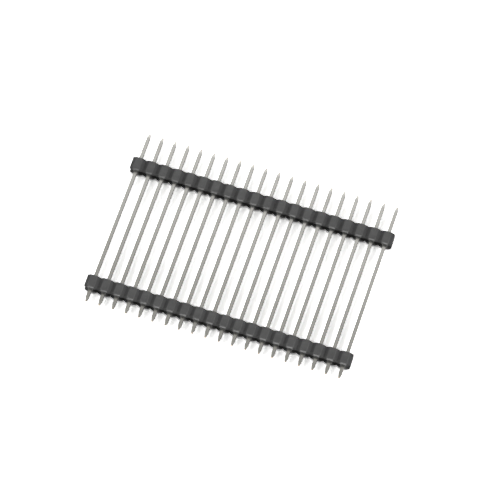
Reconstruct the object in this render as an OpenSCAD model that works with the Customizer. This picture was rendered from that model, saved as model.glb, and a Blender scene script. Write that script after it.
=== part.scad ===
// Board-stacking pin header: one row of square pins held by two identical moulded insulators.
// Millimetres. X runs along the row, +Y points to the mating ends of the pins, +Z is up.
// The strip lies on its side, as it rests on a bench. The origin is on the bench, under the
// middle of the whole strip.

/* [Row] */
// Distance from one pin to the next
pitch = 2.54; // [2.3:0.01:3]
// Pins in the row
pin_count = 20; // [2:1:40]

/* [Pins] */
// Length of a pin from tip to tip
pin_len = 35.89; // [20:0.01:45]
// Side of the square wire
pin_size = 0.64; // [0.5:0.01:0.8]
// Chamfer along the wire's four edges
pin_edge = 0.05; // [0.02:0.01:0.1]
// Free length past the upper insulator, up to the mating tip
mating_len = 5.75; // [3:0.05:12]
// Free length past the lower insulator, down to the solder tip
tail_len = 2.4; // [1.5:0.05:5]
// Length of the swaged taper at each tip
tip_len = 0.8; // [0.4:0.05:1.2]
// Side of the small flat at the end of a tip
tip_size = 0.3; // [0.15:0.01:0.4]

/* [Retention wings] */
// How far a coined wing stands out of the wire's flank
wing_out = 0.12; // [0.04:0.01:0.2]
// Thickness of a wing
wing_thick = 0.3; // [0.15:0.01:0.4]
// Length of a wing along the pin
wing_len = 1.2; // [0.8:0.05:1.4]
// Length of the ramp at each end of a wing
wing_ramp = 0.35; // [0.1:0.05:0.5]

/* [Insulators] */
// Insulator size along the pins
body_depth = 2.54; // [2.4:0.01:4]
// Insulator height above the bench
body_thick = 2.54; // [2.2:0.01:3.2]
// Depth of the V notch where two units snap apart
notch_depth = 0.48; // [0.2:0.01:0.6]
// Reach of the V notch along the row, to each side
notch_reach = 0.7; // [0.4:0.01:0.8]

/* [Board side] */
// Chamfer along the outline on the solder side
edge_chamfer = 0.3; // [0.1:0.01:0.35]
// Depth of the pocket between each two pins on the solder side
pocket_depth = 0.7; // [0.3:0.01:0.8]
// Height of the pockets, half above the pin axis and half below
pocket_height = 1.3; // [0.8:0.01:1.4]
// Width of the rib left round each pin between two pockets
rib_width = 0.92; // [0.9:0.01:1.2]

/* [Mating side] */
// Width of the square lead-in round each pin
lead_size = 0.96; // [0.88:0.01:1.2]
// Depth of the lead-in
lead_depth = 0.25; // [0.1:0.01:0.35]

/* [Hidden] */
row_len = pin_count * pitch;
pin_r = pin_size / 2;
tip_r = tip_size / 2;
pin_y0 = -pin_len / 2;
pin_y1 = pin_len / 2;
lower_y0 = pin_y0 + tail_len;
upper_y0 = pin_y1 - mating_len - body_depth;
past = 1;

plastic = [0.07, 0.07, 0.07];
metal = [0.7, 0.695, 0.66];

function pin_name(i) = str("pin_", i < 10 ? "0" : "", i);
function pin_x(i) = (i - (pin_count + 1) / 2) * pitch;

// Top line of the chain of units, with heights measured from the bench
function chain_top() = concat(
    [for (i = [1:pin_count]) each [
        [pin_x(i) - pitch / 2, body_thick - notch_depth],
        [pin_x(i) - pitch / 2 + notch_reach, body_thick],
        [pin_x(i) + pitch / 2 - notch_reach, body_thick]
    ]],
    [[row_len / 2, body_thick - notch_depth]]
);

// Extrudes an outline drawn in X and Z from y0 to y1
module along_y(y0, y1)
    translate([0, y1, 0]) rotate([90, 0, 0]) linear_extrude(height = y1 - y0) children();

// Extrudes an outline drawn in X and Y over a height centred on the pin axis
module over_z(height)
    translate([0, 0, (body_thick - height) / 2]) linear_extrude(height = height) children();

// Extrudes an outline drawn in Z and Y over a width centred on the pin axis
module over_x(width)
    translate([-width / 2, 0, body_thick / 2]) rotate([0, 90, 0])
        linear_extrude(height = width) children();

// Octagon with half sizes hx and hz, whose flats end at fx and fz
function octagon(hx, hz, fx, fz) = [
    [-fx, -hz], [fx, -hz], [hx, -fz], [hx, fz], [fx, hz], [-fx, hz], [-hx, fz], [-hx, -fz]
];

// Chain of snap-apart units seen along the pins
module chain_outline() {
    top = chain_top();
    last = len(top) - 1;
    polygon(concat(
        [for (k = [0:last]) [top[k].x, body_thick - top[k].y]],
        [for (k = [last:-1:0]) top[k]]
    ));
}

// Removes the upper edge of the solder side at 45 degrees, following the notches
module upper_chamfer(y0) {
    end_x = row_len / 2 + past;
    low = (body_thick - notch_depth) / sqrt(2);
    high = 2 * body_thick;
    translate([0, y0 + edge_chamfer, 0]) rotate([135, 0, 0])
        linear_extrude(height = 4 * body_thick, center = true)
            polygon(concat(
                [[-end_x, high], [-end_x, low]],
                [for (p = chain_top()) [p.x, p.y / sqrt(2)]],
                [[end_x, low], [end_x, high]]
            ));
}

// Four-sided taper between two squares, one at each end
module square_taper(y0, r0, y1, r1) {
    side = [[-r0, y0], [r0, y0], [r1, y1], [-r1, y1]];
    intersection() {
        over_z(2 * max(r0, r1)) polygon(side);
        over_x(2 * max(r0, r1)) polygon(side);
    }
}

// Pair of coined wings in an insulator whose solder side is at y0
module wings(y0) {
    a = y0 + (body_depth - wing_len) / 2;
    b = a + wing_len;
    out = pin_r + wing_out;
    over_z(wing_thick) polygon([
        [-pin_r, a], [pin_r, a], [out, a + wing_ramp], [out, b - wing_ramp],
        [pin_r, b], [-pin_r, b], [-out, b - wing_ramp], [-out, a + wing_ramp]
    ]);
}

// Square wire with chamfered edges, drawn to a taper at both tips
module wire() {
    flat = pin_r - pin_edge;
    side = [
        [-tip_r, pin_y0], [tip_r, pin_y0], [pin_r, pin_y0 + tip_len], [pin_r, pin_y1 - tip_len],
        [tip_r, pin_y1], [-tip_r, pin_y1], [-pin_r, pin_y1 - tip_len], [-pin_r, pin_y0 + tip_len]
    ];
    intersection() {
        translate([0, 0, body_thick / 2]) along_y(pin_y0, pin_y1)
            polygon(octagon(pin_r, pin_r, flat, flat));
        over_z(pin_size) polygon(side);
        over_x(pin_size) polygon(side);
    }
}

// One pin of the row, with wings inside both insulators
module pin(i) {
    color(metal) translate([pin_x(i), 0, 0]) {
        wire();
        wings(lower_y0);
        wings(upper_y0);
    }
}

// What one pin's place takes out of an insulator whose solder side is at y0
module pin_place(y0) {
    translate([0, 0, body_thick / 2]) along_y(y0 - past, y0 + body_depth + past)
        square(pin_size, center = true);
    wings(y0);
    square_taper(y0 + body_depth - lead_depth, pin_r, y0 + body_depth, lead_size / 2);
}

// Pocket across one snap line on the solder side
module pocket(y0)
    translate([0, 0, body_thick / 2]) along_y(y0 - past, y0 + pocket_depth)
        square([pitch - rib_width, pocket_height], center = true);

// Moulded strip of units, with pockets between the pins on the solder side
module insulator(y0) {
    color(plastic) difference() {
        along_y(y0, y0 + body_depth) chain_outline();
        upper_chamfer(y0);
        translate([0, 0, body_thick]) mirror([0, 0, 1]) upper_chamfer(y0);
        for (i = [1:pin_count]) translate([pin_x(i), 0, 0]) pin_place(y0);
        for (j = [0:pin_count]) translate([(j - pin_count / 2) * pitch, 0, 0]) pocket(y0);
    }
}

module lower_insulator() insulator(lower_y0);
module upper_insulator() insulator(upper_y0);

lower_insulator();
upper_insulator();
for (i = [1:pin_count]) pin(i);
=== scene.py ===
import math

import bmesh
import bpy
from mathutils import Euler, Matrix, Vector


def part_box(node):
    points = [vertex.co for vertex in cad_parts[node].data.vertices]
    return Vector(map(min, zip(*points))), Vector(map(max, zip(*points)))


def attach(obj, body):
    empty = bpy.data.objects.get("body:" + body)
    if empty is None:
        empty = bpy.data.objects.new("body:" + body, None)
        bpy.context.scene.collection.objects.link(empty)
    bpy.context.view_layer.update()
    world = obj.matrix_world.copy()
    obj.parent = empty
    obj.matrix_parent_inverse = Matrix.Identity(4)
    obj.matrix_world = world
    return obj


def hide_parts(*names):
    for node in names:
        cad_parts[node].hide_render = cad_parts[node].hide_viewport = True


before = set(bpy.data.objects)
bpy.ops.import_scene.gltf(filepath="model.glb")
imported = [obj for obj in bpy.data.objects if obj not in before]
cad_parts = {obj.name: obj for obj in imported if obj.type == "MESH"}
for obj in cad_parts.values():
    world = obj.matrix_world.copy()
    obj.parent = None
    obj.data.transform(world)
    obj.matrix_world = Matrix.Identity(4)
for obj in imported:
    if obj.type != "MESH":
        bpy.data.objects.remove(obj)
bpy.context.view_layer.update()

# Board-stacking pin header: two moulded insulators and a row of square plated pins, on a pale bench.
# Metres, in the part's own frame: X along the row, +Y to the mating tips, +Z up from the bench.
# The solder side of an insulator faces -Y, and the mating side faces +Y.

MM = 0.001
SAME = 1e-7
ROUND_STEPS = 3

lower_low, lower_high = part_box("lower_insulator")
upper_low, upper_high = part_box("upper_insulator")
pin_low, pin_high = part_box("pin_01")

PIN_NODES = sorted(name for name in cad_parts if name.startswith("pin_"))
PITCH = (lower_high.x - lower_low.x) / len(PIN_NODES)
BODY_DEPTH = lower_high.y - lower_low.y
BODY_THICK = lower_high.z - lower_low.z
AXIS_Z = (pin_low.z + pin_high.z) / 2
FIRST_X = (pin_low.x + pin_high.x) / 2
PIN_SIZE = pin_high.z - pin_low.z
PIN_R = PIN_SIZE / 2
WING_OUT = (pin_high.x - pin_low.x - PIN_SIZE) / 2

# Moulding details. A notch is the V where two units snap apart, and a rib carries a pin between
# two pockets on the solder side.
NOTCH_DEPTH = 0.48 * MM
NOTCH_REACH = 0.7 * MM
EDGE_CHAMFER = 0.3 * MM
POCKET_DEPTH = 0.7 * MM
POCKET_HEIGHT = 1.3 * MM
RIB_WIDTH = 0.92 * MM
LEAD_SIZE = 0.96 * MM
LEAD_DEPTH = 0.25 * MM
MOULD_ROUND = 0.06 * MM
NOTCH_SHADE_FADE = 0.2 * MM

# Pin details
PIN_EDGE = 0.05 * MM
TIP_LEN = 0.8 * MM
TIP_SIZE = 0.3 * MM
WING_THICK = 0.3 * MM
WING_LEN = 1.2 * MM
WING_RAMP = 0.35 * MM

# Colours: the moulding, the painted shade in its notches, and its fibres; the tin on the wire, darker
# to the solder end, and the brass under it; and the bench
BLACK_DEEP = (0.031, 0.031, 0.0305, 1)
BLACK_FLOWN = (0.045, 0.045, 0.044, 1)
# Painted shade: the near-black of the notch walls stands in for the shade in the V notches
BLACK_NOTCH_PAINTED_SHADE = (0.012, 0.012, 0.012, 1)
FIBRE_GREY = (0.13, 0.13, 0.125, 1)
TIN_FRESH = (0.315, 0.312, 0.295, 1)
TIN_CLOUDED = (0.285, 0.282, 0.265, 1)
TIN_TOWARDS_SOLDER_END = (0.18, 0.177, 0.162, 1)
TIN_SWAGED = (0.235, 0.23, 0.207, 1)
BRASS = (0.55, 0.38, 0.17, 1)
BENCH_WHITE = (0.88, 0.88, 0.875, 1)

# Camera
CAMERA_AT = Vector((0.07836, -0.232826, 0.530198))
CAMERA_TURN = (math.radians(24.986), 0, math.radians(18.296))
CAMERA_LENS = 229.208
CAMERA_SENSOR = 36

# Bench: its size, its drop under the part, how near a foot its whiteness fades into painted shade,
# and what it gives to the camera and to what is seen in mirrors, on top of its own colour
BENCH_SIZE = 2.0
BENCH_DROP = 0.01 * MM
FOOT_SHADE_REACH = 0.4 * MM
BENCH_TO_CAMERA = 1.35
BENCH_SEEN = 0.15

# Room light: the glow that lights, the glow that is seen, and the soft boxes round the bench, each
# with its turn about Z (0 at +X) and its lift in degrees, and its radiance
ROOM_GLOW = 0.05
ROOM_SEEN = 1.0
BOX_SIZE = 0.41
BOX_AWAY = 0.8
SOFT_BOXES = (
    ("front_box", 270, 10, 10.8),
    ("back_box", 90, 10, 3.9),
    ("right_box", 0, 33, 10.5),
    ("left_box", 180, 33, 5.4),
    ("mid_back_box", 108, 33, 3.4),
    ("high_back_box", 103, 56, 0.8),
    ("high_left_box", 206, 56, 2.0),
)


# --- Modelling helpers ---------------------------------------------------------------------------


def near(a, b):
    """True where two sizes are the same."""
    return abs(a - b) < SAME


def block(name, low, high):
    """A block between two corners, alone in the selection, with its place in its mesh."""
    bpy.ops.object.select_all(action="DESELECT")
    bpy.ops.mesh.primitive_cube_add(size=1, location=(low + high) / 2, scale=high - low)
    bpy.ops.object.transform_apply(location=True, rotation=True, scale=True)
    piece = bpy.context.object
    piece.name = name
    piece.data.name = name
    return piece


def pick(kind, rule):
    """In edit mode, selects only the verts, edges or faces that the rule accepts."""
    bpy.ops.mesh.select_mode(type={"verts": "VERT", "edges": "EDGE", "faces": "FACE"}[kind])
    bpy.ops.mesh.select_all(action="DESELECT")
    mesh = bmesh.from_edit_mesh(bpy.context.edit_object.data)
    for element in getattr(mesh, kind):
        if rule(element):
            element.select_set(True)
    mesh.select_flush(True)
    bmesh.update_edit_mesh(bpy.context.edit_object.data)


def middle(element):
    """Middle point of an edge or a face."""
    return sum((v.co for v in element.verts), Vector()) / len(element.verts)


def split(rule, point, normal):
    """Cuts the faces that the rule accepts along a plane, and keeps both sides."""
    pick("faces", rule)
    bpy.ops.mesh.bisect(plane_co=point, plane_no=normal, threshold=SAME)


def push(rule, step):
    """Extrudes the faces that the rule accepts by a step."""
    pick("faces", rule)
    bpy.ops.mesh.extrude_region_move(TRANSFORM_OT_translate={"value": step})


def cut_square(rule, x, size):
    """Cuts a centred square, size wide, into the flat faces that the rule accepts."""
    for side in (-size / 2, size / 2):
        split(rule, (x + side, 0, 0), (1, 0, 0))
        split(rule, (0, 0, AXIS_Z + side), (0, 0, 1))


def in_square(face, x, size):
    """True for a face inside a square, size wide, centred on the pin axis at x."""
    spot = middle(face)
    return abs(spot.x - x) < size / 2 and abs(spot.z - AXIS_Z) < size / 2


def wing_ends(body_low):
    """Where the coined wings of one insulator start and end along the pin."""
    start = body_low.y + (BODY_DEPTH - WING_LEN) / 2
    return start, start + WING_LEN


def raise_wings(x, body_low):
    """Raises the pair of coined wings on a pin's flanks, or sinks their seats in a bore's walls."""
    start, end = wing_ends(body_low)
    for side in (-1, 1):
        wall = x + side * PIN_R

        def on_wall(face):
            return all(near(v.co.x, wall) for v in face.verts)

        def on_wing(face):
            spot = middle(face)
            return on_wall(face) and start < spot.y < end and abs(spot.z - AXIS_Z) < WING_THICK / 2

        for height in (-WING_THICK / 2, WING_THICK / 2):
            split(on_wall, (0, 0, AXIS_Z + height), (0, 0, 1))
        for y in (start, start + WING_RAMP, end - WING_RAMP, end):
            split(on_wall, (0, y, 0), (0, 1, 0))
        push(on_wing, (side * WING_OUT, 0, 0))
        crest = wall + side * WING_OUT
        pick("verts", lambda v: near(v.co.x, crest) and (near(v.co.y, start) or near(v.co.y, end)))
        bpy.ops.transform.translate(value=(-side * WING_OUT, 0, 0))
    bpy.ops.mesh.select_all(action="SELECT")
    bpy.ops.mesh.remove_doubles(threshold=SAME)


def sharp(edge, degrees=20):
    """True for an edge where the surface turns by more than the given angle."""
    return len(edge.link_faces) == 2 and edge.calc_face_angle() > math.radians(degrees)


def apply_modifier(piece, kind, **settings):
    """Adds a modifier, sets it and applies it."""
    modifier = piece.modifiers.new(kind.title(), kind)
    for name, value in settings.items():
        setattr(modifier, name, value)
    bpy.ops.object.modifier_apply(modifier=modifier.name)


def smooth(piece):
    """Smooth rounds between flat faces that stay flat."""
    bpy.ops.object.shade_smooth_by_angle(angle=math.radians(40))
    apply_modifier(piece, "WEIGHTED_NORMAL", keep_sharp=True)


def copy_along(piece, name, step):
    """A copy with its own mesh, moved by a step, with its place in its mesh."""
    bpy.ops.object.select_all(action="DESELECT")
    piece.select_set(True)
    bpy.context.view_layer.objects.active = piece
    bpy.ops.object.duplicate(linked=False)
    twin = bpy.context.object
    twin.name = name
    twin.data.name = name
    twin.location = step
    bpy.ops.object.transform_apply(location=True, rotation=True, scale=True)
    return twin


# --- Insulators ----------------------------------------------------------------------------------


def slice_off(point, normal):
    """Cuts away what lies past a plane, and closes the cut."""
    bpy.ops.mesh.select_all(action="SELECT")
    bpy.ops.mesh.bisect(
        plane_co=point,
        plane_no=Vector(normal).normalized(),
        use_fill=True,
        clear_outer=True,
        threshold=SAME,
    )


def cut_notches(x):
    """Slants the unit's four long corners, each half of a V notch where two units snap apart."""
    for side in (-1, 1):
        for face in (-1, 1):
            root = AXIS_Z + face * (BODY_THICK / 2 - NOTCH_DEPTH)
            slice_off((x + side * PITCH / 2, 0, root), (side * NOTCH_DEPTH, 0, face * NOTCH_REACH))


def chamfer_front(x, y):
    """Chamfers the unit's flats and notch flanks on the solder side, at y."""
    slope = NOTCH_DEPTH / NOTCH_REACH
    for face in (-1, 1):
        flat = AXIS_Z + face * (BODY_THICK / 2 - EDGE_CHAMFER)
        slice_off((x, y, flat), (0, -1, face))
        for side in (-1, 1):
            root = flat - face * NOTCH_DEPTH
            slice_off((x + side * PITCH / 2, y, root), (side * slope, -1, face))


def carve(piece, low, high):
    """Takes a block between two corners out of a piece."""
    tool = block("tool", low, high)
    bpy.ops.object.select_all(action="DESELECT")
    piece.select_set(True)
    bpy.context.view_layer.objects.active = piece
    apply_modifier(piece, "BOOLEAN", operation="DIFFERENCE", solver="EXACT", object=tool)
    bpy.data.objects.remove(tool)


def carve_pockets(piece, x, y):
    """Half a pocket on each side of the rib that the pin stands in."""
    half = POCKET_HEIGHT / 2
    for near_x, far_x in ((x - PITCH, x - RIB_WIDTH / 2), (x + RIB_WIDTH / 2, x + PITCH)):
        low = Vector((near_x, y - POCKET_DEPTH, AXIS_Z - half))
        carve(piece, low, Vector((far_x, y + POCKET_DEPTH, AXIS_Z + half)))


def open_bore(x, solder_y, mating_y):
    """Opens the square bore from the solder side to the lead-in on the mating side."""

    def solder(face):
        return all(near(v.co.y, solder_y) for v in face.verts)

    def mouth(face):
        return all(near(v.co.y, mating_y) for v in face.verts)

    cut_square(solder, x, PIN_SIZE)
    pick("faces", lambda f: solder(f) and in_square(f, x, PIN_SIZE))
    bpy.ops.mesh.delete(type="FACE")
    cut_square(mouth, x, LEAD_SIZE)
    push(lambda f: mouth(f) and in_square(f, x, LEAD_SIZE), (0, -LEAD_DEPTH, 0))
    narrow = PIN_SIZE / LEAD_SIZE
    bpy.ops.transform.resize(value=(narrow, 1, narrow), center_override=(x, 0, AXIS_Z))
    bpy.ops.mesh.delete(type="FACE")
    pick("edges", lambda e: e.is_boundary)
    bpy.ops.mesh.bridge_edge_loops()


def chain_units(piece, low, high):
    """Repeats the open-sided unit along the row and closes the two ends."""
    pick("faces", lambda f: any(all(near(v.co.x, low.x + s) for v in f.verts) for s in (0, PITCH)))
    bpy.ops.mesh.delete(type="FACE")
    bpy.ops.object.mode_set(mode="OBJECT")
    apply_modifier(
        piece,
        "ARRAY",
        use_relative_offset=False,
        use_constant_offset=True,
        constant_offset_displace=(PITCH, 0, 0),
        count=len(PIN_NODES),
        use_merge_vertices=True,
        merge_threshold=1e-6,
    )
    bpy.ops.object.mode_set(mode="EDIT")
    for end in (low.x, high.x):
        pick("edges", lambda e: e.is_boundary and abs(middle(e).x - end) < PITCH / 4)
        bpy.ops.mesh.edge_face_add()


def in_bore(edge):
    """True inside a bore, where the edges stay sharp against the pin."""
    spot = middle(edge)
    off = (spot.x - FIRST_X + PITCH / 2) % PITCH - PITCH / 2
    return abs(off) < LEAD_SIZE / 2 - SAME and abs(spot.z - AXIS_Z) < LEAD_SIZE / 2 - SAME


def round_edges():
    """Rounds every edge of the moulding that the mould rounds."""
    pick("edges", lambda e: sharp(e) and not in_bore(e))
    bpy.ops.mesh.bevel(offset=MOULD_ROUND, segments=ROUND_STEPS, profile=0.5, affect="EDGES")


def mould_insulator(name, low, high):
    """One insulator: a unit shaped round the first pin, chained along the row, with rounded edges."""
    piece = block(name, low, Vector((low.x + PITCH, high.y, high.z)))
    bpy.ops.object.mode_set(mode="EDIT")
    cut_notches(FIRST_X)
    chamfer_front(FIRST_X, low.y)
    bpy.ops.object.mode_set(mode="OBJECT")
    carve_pockets(piece, FIRST_X, low.y)
    bpy.ops.object.mode_set(mode="EDIT")
    open_bore(FIRST_X, low.y, high.y)
    raise_wings(FIRST_X, low)
    chain_units(piece, low, high)
    bpy.ops.mesh.select_all(action="SELECT")
    bpy.ops.mesh.normals_make_consistent(inside=False)
    round_edges()
    bpy.ops.object.mode_set(mode="OBJECT")
    smooth(piece)
    return piece


# --- Pins ----------------------------------------------------------------------------------------


def draw_tips():
    """Draws both ends of the wire down to the small flats of the tips."""
    narrow = TIP_SIZE / PIN_SIZE
    for end, way in ((pin_low.y + TIP_LEN, -1), (pin_high.y - TIP_LEN, 1)):
        push(lambda f: all(near(v.co.y, end) for v in f.verts), (0, way * TIP_LEN, 0))
        bpy.ops.transform.resize(value=(narrow, 1, narrow), center_override=(FIRST_X, 0, AXIS_Z))


def draw_pin(name):
    """The first pin: square wire with rounded edges, drawn tips and coined wings in both insulators."""
    half = Vector((PIN_R, 0, PIN_R))
    low = Vector((FIRST_X, pin_low.y + TIP_LEN, AXIS_Z))
    high = Vector((FIRST_X, pin_high.y - TIP_LEN, AXIS_Z))
    piece = block(name, low - half, high + half)
    bpy.ops.object.mode_set(mode="EDIT")
    draw_tips()
    pick("edges", sharp)
    bpy.ops.mesh.bevel(offset=PIN_EDGE, segments=ROUND_STEPS, profile=0.5, affect="EDGES")
    raise_wings(FIRST_X, lower_low)
    raise_wings(FIRST_X, upper_low)
    bpy.ops.mesh.select_all(action="SELECT")
    bpy.ops.mesh.normals_make_consistent(inside=False)
    bpy.ops.object.mode_set(mode="OBJECT")
    smooth(piece)
    return piece


# --- Materials -----------------------------------------------------------------------------------


def new_tree(name):
    """A material's empty node tree, with its output."""
    material = bpy.data.materials.new(name)
    material.use_nodes = True
    material.node_tree.nodes.clear()
    return material, material.node_tree


def feed(tree, socket, value):
    """Links another node's output to a socket, or sets the socket to a constant."""
    if isinstance(value, bpy.types.NodeSocket):
        tree.links.new(value, socket)
    else:
        socket.default_value = value


def add(tree, kind, props=None, sockets=None):
    """Adds a shader node, sets its properties, and sets or links its sockets."""
    made = tree.nodes.new("ShaderNode" + kind)
    for name, value in (props or {}).items():
        setattr(made, name, value)
    for name, value in (sockets or {}).items():
        feed(tree, made.inputs[name], value)
    return made


def finish_surface(tree, shader):
    """Sends a shader to the material's surface."""
    add(tree, "OutputMaterial", sockets={"Surface": shader.outputs[0]})


def grain(tree, place, per_mm, detail=2.0, roughness=0.5):
    """Noise on the object's own coordinates, with so many features to the millimetre on each axis."""
    mapping = add(
        tree, "Mapping", sockets={"Vector": place, "Scale": [count / MM for count in per_mm]}
    )
    noise = add(
        tree,
        "TexNoise",
        sockets={"Vector": mapping.outputs[0], "Scale": 1.0, "Detail": detail, "Roughness": roughness},
    )
    return noise.outputs["Fac"]


def remap(tree, value, low, high, to_low=0.0, to_high=1.0):
    """Maps a value's range on to another, clamped."""
    sockets = {"Value": value, "From Min": low, "From Max": high, "To Min": to_low, "To Max": to_high}
    return add(tree, "MapRange", sockets=sockets).outputs["Result"]


def mix_colour(tree, share, first, second):
    """Mixes two colours by the share of the second."""
    made = add(tree, "Mix", {"data_type": "RGBA"})
    for number, value in ((0, share), (6, first), (7, second)):
        feed(tree, made.inputs[number], value)
    return made.outputs[2]


def math_node(tree, operation, first, second=0.0):
    """One operation on two values, or on the first alone."""
    made = add(tree, "Math", {"operation": operation})
    feed(tree, made.inputs[0], first)
    feed(tree, made.inputs[1], second)
    return made.outputs[0]


def times(tree, value, factor):
    """A value times another."""
    return math_node(tree, "MULTIPLY", value, factor)


def plus(tree, first, second):
    """The sum of two values."""
    return math_node(tree, "ADD", first, second)


def part_axis(tree, place, axis):
    """One coordinate of the object's own frame."""
    return add(tree, "SeparateXYZ", sockets={"Vector": place}).outputs[axis]


def bump(tree, height, depth, under=None):
    """A bump of a real depth, on top of another bump if one is given."""
    sockets = {"Height": height, "Strength": 1.0, "Distance": depth}
    if under is not None:
        sockets["Normal"] = under
    return add(tree, "Bump", sockets=sockets).outputs["Normal"]


def notch_shade_mask(tree, place):
    """1 in the notches where two units snap apart, which get painted shade and a more matt finish, and
    0 elsewhere.
    """
    away = math_node(tree, "PINGPONG", part_axis(tree, place, "X"), PITCH / 2)
    return remap(tree, away, NOTCH_REACH - NOTCH_SHADE_FADE, NOTCH_REACH, 1.0, 0.0)


def moulding_colour(tree, mottle, fibres, notch_shade):
    """Black that varies with the flow, with painted shade in the notches and fibres that show through.
    """
    flow = remap(tree, mottle, 0.35, 0.65)
    flat = mix_colour(tree, flow, BLACK_DEEP, BLACK_FLOWN)
    # Painted shade: the notch walls are darkened towards black
    tone = mix_colour(tree, times(tree, notch_shade, 0.6), flat, BLACK_NOTCH_PAINTED_SHADE)
    fleck = remap(tree, fibres, 0.68, 0.76)
    return mix_colour(tree, times(tree, fleck, 0.5), tone, FIBRE_GREY)


def moulding_roughness(tree, texture, mottle, notch_shade):
    """Satin from the sparked mould, more matt with the flow and in the notches."""
    sparked = remap(tree, texture, 0.3, 0.7, 0.28, 0.38)
    rough = plus(tree, sparked, times(tree, mottle, 0.06))
    return plus(tree, rough, times(tree, notch_shade, 0.12))


def black_moulding():
    """Glass-filled black moulding: sparked mould texture, flow mottling, pale fibre flecks and painted
    shade in the notches.
    """
    material, tree = new_tree("black_glass_filled_moulding")
    place = add(tree, "TexCoord").outputs["Object"]
    mottle = grain(tree, place, (0.25, 0.7, 0.7), detail=3)
    texture = grain(tree, place, (12, 12, 12), detail=3, roughness=0.6)
    fibres = grain(tree, place, (3, 28, 28), detail=1)
    # Painted shade: the notches get a darker colour and a weaker reflection, standing in for their
    # shade
    notch_shade = notch_shade_mask(tree, place)
    coarse = bump(tree, texture, 0.006 * MM)
    sockets = {
        "Base Color": moulding_colour(tree, mottle, fibres, notch_shade),
        "Roughness": moulding_roughness(tree, texture, mottle, notch_shade),
        "Normal": bump(tree, fibres, 0.002 * MM, coarse),
        "IOR": 1.5,
        "Specular IOR Level": remap(tree, notch_shade, 0, 1, 0.5, 0.3),
    }
    finish_surface(tree, add(tree, "BsdfPrincipled", sockets=sockets))
    return material


def plated_wire():
    """Dull pale tin over brass wire: draw lines, clouding, darker towards the solder end, and sheared
    ends that show the brass."""
    material, tree = new_tree("dull_tin_plated_wire")
    place = add(tree, "TexCoord").outputs["Object"]
    lines = grain(tree, place, (22, 0.3, 22), detail=3, roughness=0.6)
    clouds = grain(tree, place, (0.8, 0.35, 0.8), detail=3)
    spots = grain(tree, place, (7, 5, 7), detail=2)
    along = part_axis(tree, place, "Y")
    ragged = plus(tree, math_node(tree, "ABSOLUTE", along), times(tree, spots, 0.06 * MM))
    sheared = remap(tree, ragged, pin_high.y + 0.005 * MM, pin_high.y + 0.02 * MM)
    swaged = remap(tree, ragged, pin_high.y - 1.1 * TIP_LEN, pin_high.y - 0.8 * TIP_LEN)
    cloud = remap(tree, clouds, 0.35, 0.65)
    plating = mix_colour(tree, cloud, TIN_FRESH, TIN_CLOUDED)
    # Darker towards the solder end
    towards_solder_end = remap(tree, along, upper_high.y, pin_low.y, 0.0, 0.85)
    tone = mix_colour(tree, towards_solder_end, plating, TIN_TOWARDS_SOLDER_END)
    dulled = mix_colour(tree, times(tree, swaged, 0.35), tone, TIN_SWAGED)
    colour = mix_colour(tree, sheared, dulled, BRASS)
    drawn = remap(tree, lines, 0.3, 0.7, 0.24, 0.36)
    rough = plus(tree, drawn, times(tree, swaged, 0.08))
    normal = bump(tree, spots, 0.0008 * MM, bump(tree, lines, 0.0012 * MM))
    sockets = {"Base Color": colour, "Roughness": rough, "Normal": normal, "Metallic": 1.0}
    finish_surface(tree, add(tree, "BsdfPrincipled", sockets=sockets))
    return material


def seen_plainly(tree):
    """1 for camera, mirror and see-through rays, and 0 for the rays that light the scene."""
    rays = add(tree, "LightPath").outputs
    either = math_node(tree, "MAXIMUM", rays["Is Camera Ray"], rays["Is Glossy Ray"])
    return math_node(tree, "MAXIMUM", either, rays["Is Transmission Ray"])


def white_bench():
    """Matt white bench, plain white in the open, that keeps its shadows and gets painted shade at the
    feet.
    """
    material, tree = new_tree("white_bench")
    cover = add(tree, "BsdfDiffuse", sockets={"Color": BENCH_WHITE})
    # Painted shade: ambient occlusion takes the extra whiteness away near the insulators' feet,
    # deepening the contact shadow
    foot_shade_ao = add(tree, "AmbientOcclusion", {"samples": 8}, {"Distance": FOOT_SHADE_REACH})
    clear_of_foot_shade = remap(tree, foot_shade_ao.outputs["AO"], 0.5, 1.0)
    to_camera = times(tree, add(tree, "LightPath").outputs["Is Camera Ray"], BENCH_TO_CAMERA)
    share = plus(tree, to_camera, times(tree, seen_plainly(tree), BENCH_SEEN))
    share = times(tree, share, clear_of_foot_shade)
    white = add(tree, "CombineColor", sockets={"Red": share, "Green": share, "Blue": share})
    extra = add(tree, "BsdfDiffuse", sockets={"Color": white.outputs[0]})
    both = add(tree, "AddShader")
    feed(tree, both.inputs[0], cover.outputs[0])
    feed(tree, both.inputs[1], extra.outputs[0])
    finish_surface(tree, both)
    return material


# --- Stage ---------------------------------------------------------------------------------------


def lay_bench():
    """A wide flat bench, just clear of the part's resting faces."""
    bpy.ops.object.select_all(action="DESELECT")
    bpy.ops.mesh.primitive_plane_add(size=BENCH_SIZE, location=(0, 0, -BENCH_DROP))
    bench = bpy.context.object
    bench.name = "bench"
    bench.data.materials.append(white_bench())


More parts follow.
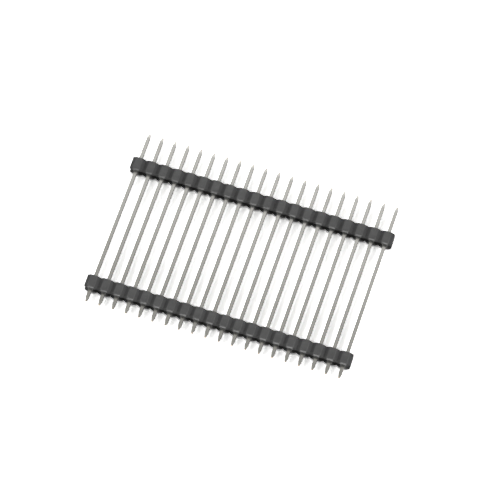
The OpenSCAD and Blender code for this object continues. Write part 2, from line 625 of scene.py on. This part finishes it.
def soft_box(name, turn, lift, radiance):
    """A round soft box that looks at the part."""
    way = Vector((math.cos(math.radians(lift)), 0, math.sin(math.radians(lift))))
    way.rotate(Euler((0, 0, math.radians(turn))))
    data = bpy.data.lights.new(name, "AREA")
    data.shape = "DISK"
    data.size = BOX_SIZE
    data.energy = radiance * (math.pi * BOX_SIZE / 2) ** 2
    lamp = bpy.data.objects.new(name, data)
    lamp.location = BOX_AWAY * way
    lamp.rotation_euler = (-way).to_track_quat("-Z", "Y").to_euler()
    bpy.context.scene.collection.objects.link(lamp)


def light_room():
    """Weak even surroundings that are seen as white, and the soft boxes."""
    world = bpy.data.worlds.new("white_tent")
    world.use_nodes = True
    world.node_tree.nodes.clear()
    tree = world.node_tree
    strength = remap(tree, seen_plainly(tree), 0, 1, ROOM_GLOW, ROOM_SEEN)
    sky = add(tree, "Background", sockets={"Color": (1, 1, 1, 1), "Strength": strength})
    add(tree, "OutputWorld", sockets={"Surface": sky.outputs[0]})
    bpy.context.scene.world = world
    for box in SOFT_BOXES:
        soft_box(*box)


def set_camera():
    """A long lens that looks down on the part from the solder side, a little from the right."""
    data = bpy.data.cameras.new("camera")
    data.lens = CAMERA_LENS
    data.sensor_width = CAMERA_SENSOR
    camera = bpy.data.objects.new("camera", data)
    camera.location = CAMERA_AT
    camera.rotation_euler = CAMERA_TURN
    bpy.context.scene.collection.objects.link(camera)
    bpy.context.scene.camera = camera


# --- The part ------------------------------------------------------------------------------------


def dress(piece, material, node):
    """Gives a finished piece its material and body, and hides the node that it stands for."""
    piece.data.materials.clear()
    piece.data.materials.append(material)
    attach(piece, "root")
    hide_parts(node)


def build_insulators():
    """Both insulators come out of one mould."""
    material = black_moulding()
    lower = mould_insulator("lower_moulding", lower_low, lower_high)
    upper = copy_along(lower, "upper_moulding", upper_low - lower_low)
    dress(lower, material, "lower_insulator")
    dress(upper, material, "upper_insulator")


def build_pins():
    """Draws the first pin and repeats it along the row."""
    material = plated_wire()
    first = draw_pin("plated_pin_01")
    row = [first]
    for place in range(1, len(PIN_NODES)):
        row.append(copy_along(first, f"plated_pin_{place + 1:02d}", Vector((place * PITCH, 0, 0))))
    for piece, node in zip(row, PIN_NODES):
        dress(piece, material, node)


build_insulators()
build_pins()
lay_bench()
light_room()
set_camera()
bpy.context.scene.view_settings.view_transform = "Standard"
